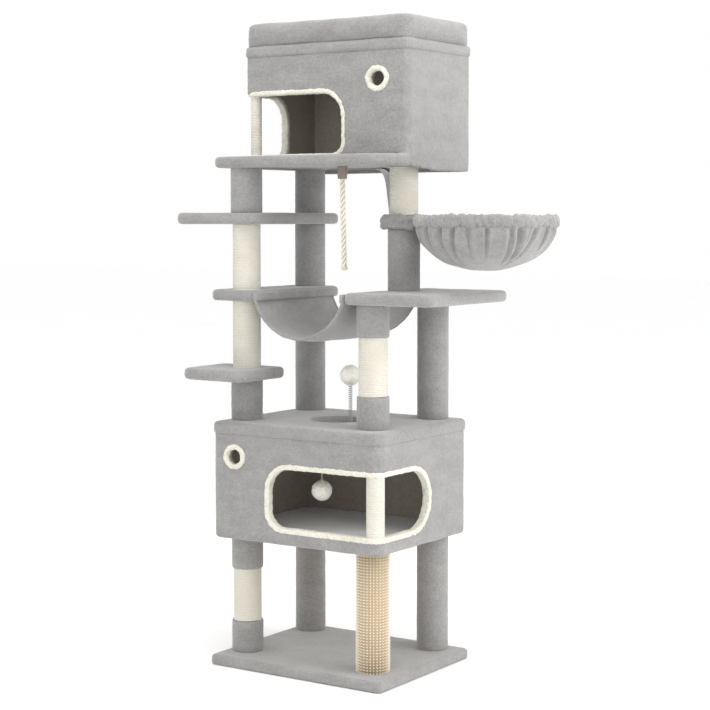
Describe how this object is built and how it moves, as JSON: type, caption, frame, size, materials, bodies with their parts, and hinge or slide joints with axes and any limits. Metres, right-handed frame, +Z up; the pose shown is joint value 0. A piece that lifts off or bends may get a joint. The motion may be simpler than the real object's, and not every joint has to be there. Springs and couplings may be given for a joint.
{
  "type": "cat tree",
  "caption": "Tall free-standing cat tree with plush and sisal posts, two condos, perches, a hammock, a hanging basket, a roof bed and dangling toys.",
  "frame": {"origin": "centre of the base's underside, on the floor", "axes": "+X to the right along the front, +Y to the back, +Z up"},
  "size_m": [1.099, 0.535, 1.809],
  "materials": {
    "plush": "short warm-grey pile with a soft sheen",
    "padded_plush": "short warm-grey pile over soft filling",
    "cream_plush": "cream pile",
    "sisal": "natural twisted sisal, matt",
    "board": "raw particle board",
    "wall_panel": "raw fibreboard, brown-grey",
    "cardboard": "raw cardboard",
    "steel": "zinc plated",
    "cap_plastic": "satin moulded",
    "groomer_plastic": "satin moulded, beige",
    "string": "white twisted string",
    "strap_webbing": "grey woven webbing"
  },
  "bodies": {
    "stand": {"back_column_plush": "plush", "base_board": "board", "base_plush": "plush", "basket_bowl": "plush", "basket_clamp_plush": "plush", "basket_hoop": "steel", "basket_post_plush": "plush", "basket_post_sisal": "sisal", "bed_rim": "padded_plush", "clamped_boards": "board", "connecting_bolts": "steel", "corner_bar_sisal": "sisal", "corner_dowels": "board", "front_post_sisal": "sisal", "groomer_sheet": "groomer_plastic", "hammock_sling": "plush", "hammock_strips": "steel", "high_perch_plush": "plush", "left_column_plush": "plush", "left_column_sisal": "sisal", "low_perch_plush": "plush", "lower_back_wall": "wall_panel", "lower_condo_carpet": "plush", "lower_condo_floor": "board", "lower_condo_plush": "plush", "lower_front_wall": "wall_panel", "lower_left_sisal": "sisal", "lower_left_wall": "wall_panel", "lower_post_plush": "plush", "lower_right_wall": "wall_panel", "lower_roof_board": "board", "lower_roof_plush": "plush", "lower_window_trim": "cream_plush", "middle_perch_plush": "plush", "peephole_trims": "cream_plush", "post_end_plugs": "board", "post_tubes": "cardboard", "right_platform_plush": "plush", "right_post_plush": "plush", "rope_cap": "cap_plastic", "short_plush_sleeves": "plush", "small_fixings": "steel", "upper_back_wall": "wall_panel", "upper_condo_plush": "plush", "upper_door_trim": "cream_plush", "upper_floor_board": "board", "upper_floor_plush": "plush", "upper_front_wall": "wall_panel", "upper_left_wall": "wall_panel", "upper_right_wall": "wall_panel", "upper_roof_board": "board", "upper_roof_plush": "plush", "wall_plate": "steel", "wall_strap": "strap_webbing"},
    "rope_toy": {"sisal_rope": "sisal"},
    "pompom": {"pompom_string": "string", "pompom_ball": "cream_plush"},
    "spring_toy": {"toy_spring": "steel", "toy_ball": "cream_plush"},
    "bed_mat": {"bed_cushion": "padded_plush"}
  },
  "joints": [
    {"name": "rope_swing", "type": "hinge", "parent": "stand", "child": "rope_toy", "pos_m": [0.062, -0.08, 1.373], "axis": [1, 0, 0], "range_deg": [-25, 25]},
    {"name": "pompom_swing", "type": "hinge", "parent": "stand", "child": "pompom", "pos_m": [0.013, -0.11, 0.661], "axis": [0, 1, 0], "range_deg": [-30, 30]},
    {"name": "toy_wobble", "type": "hinge", "parent": "stand", "child": "spring_toy", "pos_m": [0.085, -0.075, 0.695], "axis": [1, 0, 0], "range_deg": [-30, 30], "stiffness_Nm_per_rad": 0.5},
    {"name": "mat_lift", "type": "slide", "parent": "stand", "child": "bed_mat", "axis": [0, 0, 1], "range_m": [0, 0.12]}
  ]
}
